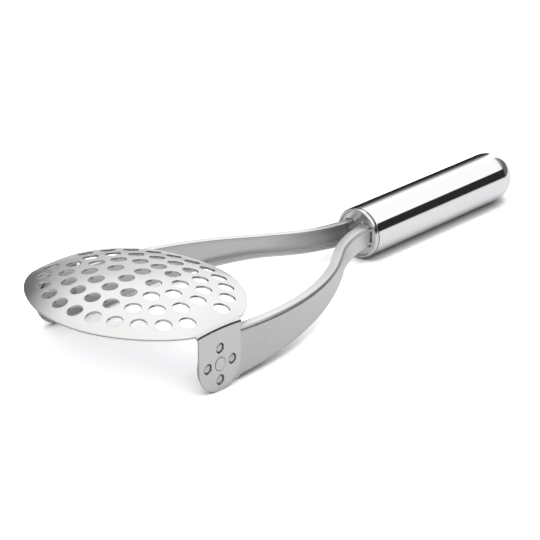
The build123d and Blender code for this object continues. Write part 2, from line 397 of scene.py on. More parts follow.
HAIRLINES = [(0.0, 0.0), (0.68, 0.0), (0.74, 1.0)]
HAIR_SCALE = 900
HAIR_STRETCH = 0.04
HAIR_ROUGH = 0.04  # roughness that a hairline adds
CLOUD_SCALE = 38
CLOUD_SHARE = 0.6  # clouds against fine grain in the colour
CLOUD_DARK = 0.93  # brightness of the darkest clouds
CUT_ROUGH = 0.16  # roughness of a cut edge above the sheet's
DARKEST_CUT_AND_SHADE = 0.2  # brightness of a cut edge, and of the darkest painted shade
SHEEN_ROUGH = 0.6  # roughness for each part that the painted sheen brightens
SHEEN_RISE = (-0.02, 0.03)  # metres along X between which the painted sheen grows, towards the handle

# The last look part sets how much brighter the painted sheen makes a steel
LOOK_PARTS = ("stretch", "grain_scale", "grain_depth", "bump_height", "cloud_depth", "polished")
LOOKS = {
    "head": ((1, 1, 1), 2600, 0.05, 1.0e-6, 0.03, 1.0),
    "arm": ((0.03, 1, 1), 1500, 0.07, 6.0e-7, 0.06, 1.3),
    "rivet": ((1, 1, 1), 3000, 0.10, 1.5e-6, 0.06, 1.0),
    "handle": ((1, 0.06, 0.06), 2200, 0.01, 2.0e-7, 0.01, 1.0),
    "plug": ((1, 1, 1), 1800, 0.06, 2.0e-6, 0.05, 1.0),
}


def new_finish(name):
    """Empty material and its bench"""
    material = bpy.data.materials.new(name)
    material.use_nodes = True
    material.node_tree.nodes.clear()
    return material, Bench(material.node_tree)


def grain(bench, stretch, scale, detail, roughness=0.5):
    """Noise on the object's own coordinates, stretched along its axes"""
    place = bench.add("ShaderNodeMapping", {"Vector": bench.place(), "Scale": stretch})["Vector"]
    inputs = {"Vector": place, "Scale": scale, "Detail": detail, "Roughness": roughness}
    return bench.add("ShaderNodeTexNoise", inputs)["Fac"]


def shaded(base, share):
    """Colour of a steel made brighter or darker, for a socket"""
    return (*(min(1, part * share) for part in base), 1)


def steel(name, base, rough, look):
    """Metal with fine grain, faint clouds, hairline scratches, duller cut edges, painted shade and
    painted sheen
    """
    material, bench = new_finish(name)
    stretch = look["stretch"]
    polished = look["polished"]
    along, _, _ = bench.parts(bench.place())
    # Painted sheen: the steel is brighter towards the handle and on faces marked for it
    polish = along.rise(*SHEEN_RISE).most(bench.attribute("polish"))
    # The cut mark dulls cut edges and also carries painted shade in the arms and the handle's
    # groove
    cut = bench.attribute("cut")
    fine = grain(bench, stretch, look["grain_scale"], 3.0, 0.6)
    clouds = grain(bench, (1, 1, 1), CLOUD_SCALE, 3.0, 0.55)
    long_way = tuple(HAIR_STRETCH if part == min(stretch) else 1.0 for part in stretch)
    hair = grain(bench, long_way, HAIR_SCALE, 1.0)
    hairline = bench.add("ShaderNodeValToRGB", {"Fac": hair}, stops=HAIRLINES)["Color"]
    roughness = rough + (fine - 0.5) * look["grain_depth"]
    roughness = roughness + (clouds - 0.5) * look["cloud_depth"]
    roughness = roughness + hairline * HAIR_ROUGH + cut * CUT_ROUGH
    roughness = roughness + polish * (polished - 1) * SHEEN_ROUGH
    patches = clouds * CLOUD_SHARE + fine * (1 - CLOUD_SHARE)
    tint = bench.mixed(patches, shaded(base, CLOUD_DARK), shaded(base, 1))
    # Painted sheen brightens the colour; cut edges and painted shade then darken it
    tint = bench.mixed(polish, tint, shaded(base, polished))
    tint = bench.mixed(cut, tint, shaded(base, DARKEST_CUT_AND_SHADE))
    height = fine + hairline * 0.5
    inputs = {"Strength": 0.5, "Distance": look["bump_height"], "Height": height}
    bump = bench.add("ShaderNodeBump", inputs)["Normal"]
    inputs = {"Base Color": tint, "Metallic": 1.0, "Roughness": roughness, "Normal": bump}
    shader = bench.add("ShaderNodeBsdfPrincipled", inputs)["BSDF"]
    bench.add("ShaderNodeOutputMaterial", {"Surface": shader})
    return material


def finish_for(finish, kind):
    """One of the masher's finishes, made on first use"""
    name = f"{kind} steel finish"
    found = bpy.data.materials.get(name)
    if found:
        return found
    look = dict(zip(LOOK_PARTS, LOOKS[kind]))
    return steel(name, getattr(finish, f"{kind}_colour"), getattr(finish, f"{kind}_rough"), look)


# Meshes


def finish_piece(name, mesh, material, body, nodes, shading=None):
    """Smooth object for the mesh, riding on its body in place of the CAD nodes"""
    mesh.materials.clear()
    mesh.materials.append(material)
    mesh.shade_smooth()
    mesh.set_sharp_from_angle(angle=SHARP)
    if shading:
        mesh.normals_split_custom_set([shading(mesh, loop) for loop in mesh.loops])
    piece = linked(name, mesh)
    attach(piece, body)
    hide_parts(*nodes)


def linked(name, data):
    """Object in the scene for a mesh, a lamp or a camera"""
    made = bpy.data.objects.new(name, data)
    bpy.context.scene.collection.objects.link(made)
    return made


def mesh_of(name, points, faces):
    """Mesh with merged doubles and all faces turned outwards"""
    mesh = bpy.data.meshes.new(name)
    mesh.from_pydata(points, [], faces)
    shape = bmesh.new()
    shape.from_mesh(mesh)
    bmesh.ops.remove_doubles(shape, verts=shape.verts, dist=MERGE)
    bmesh.ops.recalc_face_normals(shape, faces=shape.faces)
    shape.to_mesh(mesh)
    shape.free()
    return mesh


def turned(profile, segments):
    """Points and faces of a profile of (radius, height) turned about Z"""
    points = []
    rings = []
    for radius, height in profile:
        if radius < TINY:
            rings.append([len(points)] * segments)
            points.append((0, 0, height))
            continue
        rings.append(list(range(len(points), len(points) + segments)))
        for index in range(segments):
            turn = 2 * math.pi * index / segments
            points.append((radius * math.cos(turn), radius * math.sin(turn), height))
    faces = []
    for low, high in zip(rings, rings[1:]):
        for index in range(segments):
            after = (index + 1) % segments
            corners = [low[index], low[after], high[after], high[index]]
            face = list(dict.fromkeys(corners))
            if len(face) > 2:
                faces.append(face)
    return points, faces


def turned_mesh(name, profile, segments):
    """Closed mesh of a turned profile"""
    return mesh_of(name, *turned(profile, segments))


def arc(centre, radius, start, stop, steps):
    """Points of a plane arc, from one angle in degrees to another"""
    made = []
    for step in range(steps + 1):
        turn = math.radians(start + (stop - start) * step / steps)
        made.append((centre[0] + radius * math.cos(turn), centre[1] + radius * math.sin(turn)))
    return made


def grid(low, high, step):
    """Evenly spaced numbers from low to high, both included"""
    count = max(1, round((high - low) / step))
    return [low + (high - low) * index / count for index in range(count + 1)]


def clamped(share):
    """Share kept between 0 and 1"""
    return min(1, max(0, share))


def ramp(value, start, run):
    """0 before the start, 1 after the run"""
    return clamped((value - start) / run)


def four_ways(ring):
    """Four places round a pivot"""
    return (ring, 0), (-ring, 0), (0, ring), (0, -ring)


def mark(mesh, name, value_at):
    """Attribute that holds a value for each face"""
    marks = mesh.attributes.new(name, "FLOAT", "FACE")
    for face in mesh.polygons:
        marks.data[face.index].value = value_at(face)


def baked(piece, tree, values):
    """Plain mesh of a piece after the node tree; its helper objects are deleted"""
    modifier = piece.modifiers.new(tree.name, "NODES")
    modifier.node_group = tree
    for item in tree.interface.items_tree:
        if item.in_out == "INPUT" and item.name in values:
            modifier[item.identifier] = values[item.name]
    seen = bpy.context.evaluated_depsgraph_get()
    mesh = bpy.data.meshes.new_from_object(piece.evaluated_get(seen))
    piece.modifiers.remove(modifier)
    for helper in (piece, *values.values()):
        if isinstance(helper, bpy.types.Object):
            bpy.data.objects.remove(helper)
    return mesh


# Bent sheet


def inset_outline(outline, inset):
    """Closed outline moved inwards; it runs anticlockwise"""
    moved = []
    for index, spot in enumerate(outline):
        before = Vector(outline[index - 1])
        after = Vector(outline[(index + 1) % len(outline)])
        along = (after - before).normalized()
        moved.append((spot[0] - along.y * inset, spot[1] + along.x * inset))
    return moved


def inside(spot, outline):
    """Whether a point lies within a closed outline"""
    x, y = spot
    odd = False
    for (x0, y0), (x1, y1) in zip(outline, outline[1:] + outline[:1]):
        if (y0 > y) != (y1 > y) and x < x0 + (y - y0) * (x1 - x0) / (y1 - y0):
            odd = not odd
    return odd


def formed_sheet(name, outline, fill, place, thickness, edge):
    """Closed piece of bent sheet: a flat blank with rounded edges, formed by place"""
    rim = inset_outline(outline, edge)
    near = edge * 3
    kept = []
    for spot in fill:
        if inside(spot, rim) and min(math.dist(spot, corner) for corner in rim) > near:
            kept.append(spot)
    blank = [Vector(spot) for spot in rim + kept]
    around = list(range(len(rim)))
    flat, _, faces, sources, _, _ = geometry.delaunay_2d_cdt(blank, [], [around], 1, TINY)
    where = {old: new for new, olds in enumerate(sources) for old in olds}
    count = len(flat)
    points = [place(x, y, 0) for x, y in flat]
    points += [place(x, y, thickness) for x, y in flat]
    made = [tuple(face) for face in faces]
    made += [tuple(count + corner for corner in reversed(face)) for face in faces]
    rows = [[where[index] for index in around]]
    for turn, under in ((30, 0), (60, 0), (90, 0), (90, 1), (60, 1), (30, 1)):
        swing = math.radians(turn)
        sink = edge * (1 - math.cos(swing))
        depth = thickness - sink if under else sink
        loop = inset_outline(outline, edge * (1 - math.sin(swing)))
        rows.append(list(range(len(points), len(points) + len(loop))))
        points += [place(x, y, depth) for x, y in loop]
    rows.append([count + where[index] for index in around])
    for upper, lower in zip(rows, rows[1:]):
        for index in around:
            after = (index + 1) % len(rim)
            made.append((upper[index], lower[index], lower[after], upper[after]))
    return mesh_of(name, points, made)


# Head

CORE = ("Core Across", "Core Along")
RINGS = 3
OVAL_POINTS = 360
HIGH_DROP = 0.1  # height from which a hole's centre falls onto the dome
LOW_DROP = 0.02
DROP_LENGTH = 0.2
# Cut walls of the rim and holes are duller and also carry painted shade
EDGE_DULL_AND_SHADE = 0.3
ON_DOME = 0.985  # a face this near the dome's direction is shaded as the dome


def dome_fall(u, knee, middle, rim):
    """Fall of a two-arc dome and its slope at a distance from the middle"""
    u = abs(u)
    if u <= knee:
        root = math.sqrt(middle**2 - u**2)
        return middle - root, u / root
    lean = math.asin(knee / middle)
    centre = knee - rim * math.sin(lean)
    root = math.sqrt(rim**2 - (u - centre) ** 2)
    return middle - (middle - rim) * math.cos(lean) - root, (u - centre) / root


class Dome:
    """Outer surface of the head, and the folds and tongues that hang from it"""

    def __init__(self, sizes):
        self.sizes = sizes
        line = sizes.half_span
        for _ in range(6):  # settles where the dome meets the fold
            slope = self.along(line)[1]
            line = sizes.half_span - sizes.fold_radius * (1 - math.sin(math.atan(slope)))
        self.fold_line = line
        self.tilt = math.atan(self.along(line)[1])
        self.fold_length = sizes.fold_radius * (math.pi / 2 - self.tilt)

    def across(self, x):
        s = self.sizes
        return dome_fall(x, s.across_knee, s.across_middle, s.across_rim)

    def along(self, y):
        s = self.sizes
        return dome_fall(y, s.along_knee, s.along_middle, s.along_rim)

    def height(self, x, y):
        return self.sizes.apex - self.across(x)[0] - self.along(y)[0]

    def normal(self, x, y):
        """Outward direction of the dome, before the folds"""
        lean = math.copysign(self.across(x)[1], x)
        tilt = math.copysign(self.along(y)[1], y)
        return Vector((lean, tilt, 1)).normalized()

    def fold_centre(self, x):
        """Height of the fold's centre line"""
        radius = self.sizes.fold_radius
        return self.height(x, self.fold_line) - radius * math.cos(self.tilt)

    def blank_of(self, x, z):
        """Place on the flat blank of a point of the tongue"""
        return self.fold_line + self.fold_length + self.fold_centre(x) - z

    def place(self, x, v, depth):
        """Point of the sheet for a point of the flat blank"""
        radius = self.sizes.fold_radius
        side = math.copysign(1, v)
        v = abs(v)
        if v <= self.fold_line:
            spot = Vector((x, v, self.height(x, v))) - self.normal(x, v) * depth
        else:
            turn = self.tilt + min(v - self.fold_line, self.fold_length) / radius
            fall = max(0, v - self.fold_line - self.fold_length)
            out = self.sizes.half_span - radius + (radius - depth) * math.sin(turn)
            up = self.fold_centre(x) + (radius - depth) * math.cos(turn) - fall
            spot = Vector((x, out, up))
        return hinge + Vector((spot.x, side * spot.y, spot.z))

    def outward(self, spot):
        """Direction of the outer surface at a point near the sheet"""
        x, y, z = spot - hinge
        side = math.copysign(1, y)
        out = abs(y) - (self.sizes.half_span - self.sizes.fold_radius)
        up = z - self.fold_centre(x)
        if up <= 0:
            return Vector((0, side, 0))
        turn = math.atan2(out, up)
        if turn < self.tilt:
            return self.normal(x, y)
        return Vector((0, side * math.sin(turn), math.cos(turn)))


def head_outline(dome):
    """Edge of the flat blank: oval with two flared, round-ended tongues"""
    s = dome.sizes
    wide = s.tongue + s.flare
    waist = dome.height(wide, dome.fold_line) + dome.along(dome.fold_line)[0]
    waist = waist - dome.along(s.half_span)[0] - s.neck
    tongue = arc((0, 0), s.tongue, -90, 0, 24)
    tongue += [(s.tongue, z) for z in grid(0, waist - s.flare, TONGUE_STEP)[1:]]
    tongue += arc((wide, waist - s.flare), s.flare, 180, 90, 8)[1:]
    quarter = [(x, dome.blank_of(x, z)) for x, z in tongue]
    corner = s.half_oval * math.sqrt(1 - (wide / s.half_width) ** 2)
    quarter += [(wide, v) for v in grid(dome.blank_of(wide, waist), corner, -FLARE_STEP)[1:]]
    start = math.degrees(math.acos(wide / s.half_width))
    steps = 60
    for step in range(1, steps + 1):
        turn = math.radians(start * (1 - step / steps))
        quarter.append((s.half_width * math.cos(turn), s.half_oval * math.sin(turn)))
    return close_halves(quarter)


def close_halves(quarter):
    """Whole outline, anticlockwise, from its quarter between +V and +X"""
    lower = [(x, -v) for x, v in reversed(quarter[:-1])]
    right = quarter + lower
    left = [(-x, v) for x, v in reversed(right[1:-1])]
    return list(reversed(right + left))


def head_fill(dome):
    """Inner points of the flat blank, close together round the folds"""
    s = dome.sizes
    reach = dome.fold_line - CLEAR
    fill = []
    for x in grid(-s.half_width, s.half_width, DOME_STEP):
        fill += [(x, v) for v in grid(-reach, reach, DOME_STEP)]
    wide = s.tongue + s.flare
    end = dome.fold_line + dome.fold_length
    rows = grid(dome.fold_line, end, dome.fold_length / 8)
    rows += grid(end + 0.001, dome.blank_of(0, -s.tongue), DOME_STEP)
    for x in grid(-wide, wide, TONGUE_STEP):
        for v in rows:
            fill += [(x, v), (x, -v)]
    return fill


def punch_profile(bore, roll, reach, top):
    """Profile of a punch with a flared shoulder, its Z pointing out of the sheet"""
    profile = [(0, -reach), (bore, -reach), (bore, -roll)]
    profile += arc((bore + roll, -roll), roll, 180, 90, 4)[1:]
    return profile + [(bore + roll, top), (0, top)]


def perforation(counts):
    """Node tree that punches oval rings of holes through the sheet"""
    bench, given = new_tree(
        "perforation",
        Float=("Half Width", "Half Oval", "Rim Margin", "Ring Step", "Bare Line", *CORE),
        Vector=("Pivot",),
        Object=("Punch", "Tongue Punches"),
    )
    groups = []
    for ring, count in enumerate(counts):
        inset = given["Rim Margin"] + given["Ring Step"] * ring
        scale = bench.joined(given["Half Width"] - inset, given["Half Oval"] - inset, 1.0)
        inputs = {"Resolution": OVAL_POINTS, "Radius": 1.0}
        curve = bench.add("GeometryNodeCurvePrimitiveCircle", inputs)["Curve"]
        curve = bench.add("GeometryNodeTransform", {"Geometry": curve, "Scale": scale})["Geometry"]
        curve = bench.add("GeometryNodeResampleCurve", {"Curve": curve, "Count": count})["Curve"]
        centres = bench.add("GeometryNodeCurveToPoints", {"Curve": curve}, mode="EVALUATED")
        groups.append(centres["Points"])
    across, along = (given[name] for name in CORE)
    for x, y in ((across, 0.0), (across * -1.0, 0.0), (0.0, along), (0.0, along * -1.0)):
        inputs = {"Count": 1, "Position": bench.joined(x, y, 0.0)}
        groups.append(bench.add("GeometryNodePoints", inputs)["Geometry"])
    centres = bench.add("GeometryNodeJoinGeometry", {"Geometry": groups})["Geometry"]
    place = bench.add("GeometryNodeInputPosition")["Position"]
    past = abs(bench.parts(place)[1]) > given["Bare Line"]
    inputs = {"Geometry": centres, "Selection": past}
    centres = bench.add("GeometryNodeDeleteGeometry", inputs, domain="POINT")["Geometry"]
    inputs = {"Geometry": centres, "Translation": given["Pivot"]}
    centres = bench.add("GeometryNodeTransform", inputs)["Geometry"]

    def below(lift):
        """What a point meets as it falls onto the sheet from that much higher"""
        inputs = {0: place, 1: (0, 0, lift)}
        start = bench.add("ShaderNodeVectorMath", inputs, operation="ADD")["Vector"]
        inputs = {"Target Geometry": given["Geometry"], "Source Position": start}
        inputs.update({"Ray Direction": (0, 0, -1), "Ray Length": DROP_LENGTH})
        return bench.add("GeometryNodeRaycast", inputs)

    inputs = {"Geometry": centres, "Position": below(HIGH_DROP)["Hit Position"]}
    centres = bench.add("GeometryNodeSetPosition", inputs)["Geometry"]
    inputs = {"Vector": below(LOW_DROP)["Hit Normal"]}
    turn = bench.add("FunctionNodeAlignRotationToVector", inputs, axis="Z")["Rotation"]
    punch = bench.shape_of(given["Punch"])
    inputs = {"Points": centres, "Instance": punch, "Rotation": turn}
    punches = bench.add("GeometryNodeInstanceOnPoints", inputs)["Instances"]
    inputs = {"Geometry": [punches, bench.shape_of(given["Tongue Punches"])]}
    tools = bench.add("GeometryNodeJoinGeometry", inputs)["Geometry"]
    tools = bench.add("GeometryNodeRealizeInstances", {"Geometry": tools})["Geometry"]
    return end_tree(bench, bench.cut_away(given["Geometry"], tools), given["Material"])


def ring_counts(head, holes):
    """Number of punched holes on each oval ring, in multiples of six"""
    counts = []
    for ring in range(RINGS):
        inset = holes.margin + ring * holes.step
        a = head.half_width - inset
        b = head.half_oval - inset
        girth = 0
        last = (a, 0)
        for step in range(1, 2 * OVAL_POINTS + 1):
            turn = math.pi * step / OVAL_POINTS
            spot = (a * math.cos(turn), b * math.sin(turn))
            girth += math.dist(last, spot)
            last = spot
        counts.append(6 * round(girth / holes.step / 6))
    return counts


def tongue_punches(settings):
    """Detent pins and rivet seats of both tongues in one mesh"""
    holes = settings.holes
    rivets = settings.rivets
    pin = punch_profile(holes.detent / 2, holes.roll, PIN_REACH, PIN_TOP)
    bore = rivets.shank + rivets.clearance
    mouth = rivets.head + rivets.groove
    seat = [(0, -PIN_REACH), (bore, -PIN_REACH), (bore, -rivets.cone)]
    seat += [(mouth, -rivets.shoulder), (mouth, PIN_TOP), (0, PIN_TOP)]
    spots = [(x, z, pin) for x, z in four_ways(holes.detent_ring)] + [(0, 0, seat)]
    points = []
    faces = []
    for side in (-1, 1):
        turn = Matrix.Rotation(math.radians(-90 * side), 4, "X")
        for x, z, profile in spots:
            middle = Matrix.Translation(hinge + Vector((x, side * settings.head.half_span, z)))
            more, shapes = turned(profile, PIN_SEGMENTS)
            faces += [tuple(len(points) + corner for corner in face) for face in shapes]
            points += [middle @ turn @ Vector(point) for point in more]
    return mesh_of("tongue_punches", points, faces)


class MASHER_OT_head(bpy.types.Operator):
    """Domed sheet, punched by a node tree and folded into two tongues"""

    bl_idname = "masher.head"
    bl_label = "Mashing head"

    def execute(self, context):
        settings = context.scene.masher
        head = settings.head
        holes = settings.holes
        metal = finish_for(settings.finish, "head")
        dome = Dome(head)
        blank = (head_outline(dome), head_fill(dome))
        sheet = formed_sheet("head_sheet", *blank, dome.place, head.sheet, head.edge)
        punch = punch_profile(holes.diameter / 2, holes.roll, PUNCH_REACH, PUNCH_REACH / 2)
        values = {
            "Half Width": head.half_width,
            "Half Oval": head.half_oval,
            "Rim Margin": holes.margin,
            "Ring Step": holes.step,
            "Bare Line": head.half_span - holes.bare,
            "Core Across": holes.core_across,
            "Core Along": holes.core_along,
            "Pivot": hinge,
            "Punch": linked("punch", turned_mesh("punch", punch, PUNCH_SEGMENTS)),
            "Tongue Punches": linked("tongue_punches", tongue_punches(settings)),
            "Material": metal,
        }
        whole = linked("head_blank", sheet)
        mesh = baked(whole, perforation(ring_counts(head, holes)), values)

        def cut(face):
            """Dulls the rim and the holes, where the sheet was cut, and paints shade on these
            walls
            """
            across = abs(face.normal.dot(dome.outward(face.center)))
            return EDGE_DULL_AND_SHADE if across < 0.5 else 0.0

        mark(mesh, "cut", cut)
        even = {}

        def shading(mesh, loop):
            """Smooth dome and tongues; the zero leaves walls and edges as they are"""
            if not even:
                for face in mesh.polygons:
                    for index in face.loop_indices:
                        even[index] = face.normal.copy()
            outward = dome.outward(mesh.vertices[loop.vertex_index].co)
            match = outward.dot(even[loop.index])
            if abs(match) < ON_DOME:
                return (0, 0, 0)
            return outward if match > 0 else -outward

        nodes = ["mashing_head"]
        finish_piece("perforated_head", mesh, metal, "head", nodes, shading)
        return {"FINISHED"}


# Arms

END_STEP = 0.0012
CORNER_STEP = 0.0004
WEB_STEP = 0.0016
TAIL_STEP = 0.002
BEND_STEPS = 7
CORNER_PAST = 0.001  # how far past a flange's corner the close columns go
FLANGE_ROW = 0.0009  # height of the row of points on a flange
DIMPLE_RINGS = (0.3, 0.6, 0.75, 0.85, 0.93, 1.0, 1.1)  # shares of a dimple's radius
DIMPLE_POWER = 6  # how flat a dimple's top is
EASE_LEAD = 0.002  # how far ahead of the flanges the flat web begins to narrow
EASE_RUN = 0.003  # and over what length it does
PAST_END = 0.0004  # how far the flat web reaches past the round end
INWARD = -0.25  # outward part of a face's direction, below which it is inside the channel
BENT = 0.2  # upright part of it, above which the face is a bend or a flange
LEVEL = 0.85  # and above which it is a flange
# Painted shade inside the arms' channels and in their inner bends
SHADE_INSIDE = 0.5
SHADE_BEND = 0.45
SHADE_RAMP = (0.001, 0.028)  # where the painted shade inside starts along X and over what length it grows
# Painted sheen on the arms' outer bends and flanges
FLANGE_SHEEN = 0.8
SHEEN_RAMP = (-0.03, 0.04)  # the same for the painted sheen of the bends


class ArmLine:
    """Plan line of an arm's outer face, followed from the pivot to the tail"""

    def __init__(self, sizes):
        self.sizes = sizes
        run = sizes.sweep_end - sizes.sweep_start
        fall = sizes.face - sizes.root_offset
        self.swing = 2 * math.atan(fall / run)
        curve = run / math.sin(self.swing)
        self.neck = curve * sizes.neck_share
        self.sweep = curve - self.neck
        self.sweep_stop = sizes.sweep_start + self.sweep * self.swing
        self.neck_stop = self.sweep_stop + self.neck * self.swing
        self.length = self.neck_stop + sizes.tail_end - sizes.sweep_end
        self.flange_front = sizes.flange_start - CLEAR
        self.flange_full = sizes.flange_start + sizes.flange_corner

    def at(self, s):
        """Place on the line and the heading there"""
        size = self.sizes
        if s <= size.sweep_start:
            return s, size.face, 0
        if s <= self.sweep_stop:
            turn = (s - size.sweep_start) / self.sweep
            x = size.sweep_start + self.sweep * math.sin(turn)
            return x, size.face - self.sweep * (1 - math.cos(turn)), turn
        if s <= self.neck_stop:
            turn = self.swing - (s - self.sweep_stop) / self.neck
            x = size.sweep_end - self.neck * math.sin(turn)
            return x, size.root_offset + self.neck * (1 - math.cos(turn)), turn
        return size.sweep_end + s - self.neck_stop, size.root_offset, 0

    def offset(self, x):
        """Middle to the outer face where the arm meets the plug"""
        size = self.sizes
        return size.root_offset + self.neck - math.sqrt(self.neck**2 - (size.sweep_end - x) ** 2)

    def half_height(self, x):
        """Half height of the channel: taper, blend, even part"""
        size = self.sizes
        slope = (size.end_radius - size.root_half) / (size.knee - size.flange_start)
        blend = size.knee_radius * math.tan(math.atan(slope) / 2)
        if x >= size.knee + blend:
            return size.root_half
        if x <= size.knee - blend:
            return size.root_half + slope * (size.knee - x)
        return size.root_half + (size.knee + blend - x) ** 2 / (2 * size.knee_radius)

    def web(self, s):
        """Half height of the flat web, with no bend in the round end"""
        size = self.sizes
        x = self.at(s)[0]
        ease = clamped((x - size.flange_start + EASE_LEAD) / EASE_RUN)
        ease = ease * ease * (3 - 2 * ease)
        channel = self.half_height(x) - size.bend
        return (size.end_radius + PAST_END) * (1 - ease) + channel * ease

    def reach(self, s):
        """Half width of the arm's flat blank"""
        size = self.sizes
        x = self.at(s)[0]
        if x <= self.flange_front:
            return size.end_radius
        share = min(1, (x - self.flange_front) / (self.flange_full - self.flange_front))
        inward = size.flange * math.sqrt(1 - (1 - share) ** 2)
        if inward <= size.bend:
            more = size.bend * math.acos(1 - inward / size.bend)
        else:
            more = size.bend * math.pi / 2 + inward - size.bend
        return max(size.end_radius if x < size.flange_start else 0, self.web(s) + more)

    def place(self, s, w, depth):
        """Point of the bent sheet for a point of the flat blank"""
        bend = self.sizes.bend
        x, y, heading = self.at(s)
        flat = self.web(s)
        side = math.copysign(1, w)
        w = abs(w)
        if w <= flat:
            inward = depth
            up = w
        else:
            turn = min((w - flat) / bend, math.pi / 2)
            more = max(0, w - flat - bend * math.pi / 2)
            up = flat + (bend - depth) * math.sin(turn)
            inward = bend - (bend - depth) * math.cos(turn) + more
        inward -= self.dimple(s, w)
        out = Vector((math.sin(heading), math.cos(heading), 0))
        return hinge + Vector((x, y, side * up)) - out * inward

    def dimple(self, s, w):
        """Height of the four detent dimples round the pivot, for a w that isn't negative"""
        size = self.sizes
        for x, y in four_ways(size.dimple_ring):
            away = math.dist((s, w), (x, abs(y)))
            if away < size.dimple:
                return size.dimple_height * (1 - (away / size.dimple) ** DIMPLE_POWER)
        return 0


def arm_outline(line):
    """Edge of one arm's flat blank"""
    upper = list(reversed(arc((0, 0), line.sizes.end_radius, 90, 180, 30)))
    start = line.flange_front
    full = line.flange_full
    steps = 16
    stations = grid(0, start, TONGUE_STEP)[1:]
    for step in range(1, steps + 1):
        stations.append(start + (full - start) * (1 - math.cos(math.pi / 2 * step / steps)))
    stations += grid(full, line.length, CHANNEL_STEP)[1:]
    upper += [(s, line.reach(s)) for s in stations]
    lower = [(s, -w) for s, w in reversed(upper[1:])]
    tail = [(line.length, w) for w in grid(upper[-1][1], -upper[-1][1], -TAIL_STEP)[1:-1]]
    return list(reversed(upper + tail + lower))


def arm_fill(line):
    """Inner points of one arm's flat blank, close together at bends and dimples"""
    size = line.sizes
    start = line.flange_front
    full = line.flange_full
    quarter = size.bend * math.pi / 2
    fill = []
    columns = grid(-size.end_radius, start, END_STEP)
    columns += grid(start + CORNER_STEP, full + CORNER_PAST, CORNER_STEP)
    columns += grid(full + 2 * CORNER_PAST, line.length - CLEAR, CHANNEL_STEP)
    for s in columns:
        flat = line.web(s)
        rows = grid(0, flat, WEB_STEP)
        rows += [flat + quarter * step / BEND_STEPS for step in range(1, BEND_STEPS + 1)]
        rows += [flat + quarter + FLANGE_ROW]
        for w in rows:
            fill += [(s, w), (s, -w)]
    for centre in four_ways(size.dimple_ring):
        for share in DIMPLE_RINGS:
            fill += arc(centre, size.dimple * share, 0, 345, 23)
    return sorted(set(fill))


def mark_arm(mesh, side):
    """Attributes that paint shade inside an arm and paint sheen on its outer bends and flanges"""

    def inward(face):
        return face.normal.y * side < INWARD

    def bent(face):
        return abs(face.normal.z) > BENT

    def cut(face):
        """Painted shade along the channel's inside, growing towards the handle, and in its inner
        bends
        """
        share = ramp(face.center.x, *SHADE_RAMP)
        return max(SHADE_INSIDE * share, SHADE_BEND * bent(face)) if inward(face) else 0.0

    def polish(face):
        """Painted sheen on the flanges' outsides, and on the bends towards the handle"""
        outer = face.normal.z * (face.center.z - hinge.z) > 0
        if inward(face) or not bent(face) or not outer:
            return 0.0
        flat = abs(face.normal.z) > LEVEL
        return FLANGE_SHEEN * (1 if flat else ramp(face.center.x, *SHEEN_RAMP))

    mark(mesh, "cut", cut)
    mark(mesh, "polish", polish)


class MASHER_OT_arms(bpy.types.Operator):
    """Two channel arms, folded and bent from flat blanks"""

    bl_idname = "masher.arms"
    bl_label = "Arms"

    def execute(self, context):
        settings = context.scene.masher
        sizes = settings.arms
        metal = finish_for(settings.finish, "arm")
        line = ArmLine(sizes)
        blank = (arm_outline(line), arm_fill(line))
        for name, side in (("left", 1), ("right", -1)):

            def place(s, w, depth):
                spot = line.place(s, w, depth)
                return Vector((spot.x, side * spot.y, spot.z))

            mesh = formed_sheet(f"arm_{name}_steel", *blank, place, sizes.sheet, sizes.edge)
            mark_arm(mesh, side)
            piece = f"channel_arm_{name}"
            finish_piece(piece, mesh, metal, "handle_and_arms", [f"arm_{name}"])
        return {"FINISHED"}


# Rivets and welds

SPIN = 3.0  # radians that an uneven piece is turned either way at most
SHRINK = 0.15  # part by which it is smaller at most


def repeated(kind):
    """Node tree that sets one small piece on every point, turned as the point says"""
    bench, given = new_tree(kind, Object=("Piece",), Float=("Unevenness",))
    uneven = given["Unevenness"]
    attribute = "GeometryNodeInputNamedAttribute"
    facing = bench.add(attribute, {"Name": "facing"}, data_type="FLOAT_VECTOR")["Attribute"]
    align = "FunctionNodeAlignRotationToVector"
    turn = bench.add(align, {"Vector": facing}, axis="Z")["Rotation"]
    random = "FunctionNodeRandomValue"
    inputs = {"Min": (0, 0, -SPIN), "Max": (0, 0, SPIN), "Seed": 4}
    spin = bench.scaled(bench.add(random, inputs, data_type="FLOAT_VECTOR")["Value"], uneven)
    inputs = {"Rotation": turn, "Rotate By": spin}
    turn = bench.add("FunctionNodeRotateRotation", inputs, rotation_space="LOCAL")["Rotation"]
    inputs = {"Min_001": -1.0, "Max_001": 0.0, "Seed": 9}
    smaller = bench.add(random, inputs, data_type="FLOAT")["Value_001"]
    inputs = {
        "Points": given["Geometry"],
        "Instance": bench.shape_of(given["Piece"]),
        "Rotation": turn,
        "Scale": smaller * uneven * SHRINK + 1.0,
    }
    placed = bench.add("GeometryNodeInstanceOnPoints", inputs)["Instances"]
    return end_tree(bench, placed, given["Material"])


def set_pieces(name, spots, small, uneven, metal):
    """Plain mesh of one small piece set on all its places, each with its direction"""
    places = bpy.data.meshes.new(name + "_places")
    places.from_pydata([spot for spot, _ in spots], [], [])
    facing = places.attributes.new("facing", "FLOAT_VECTOR", "POINT")
    facing.data.foreach_set("vector", [part for _, way in spots for part in way])
    points = linked(name + "_places", places)
    piece = linked(name + "_one", small)
    values = {"Piece": piece, "Unevenness": uneven, "Material": metal}
    return baked(points, repeated(name), values)


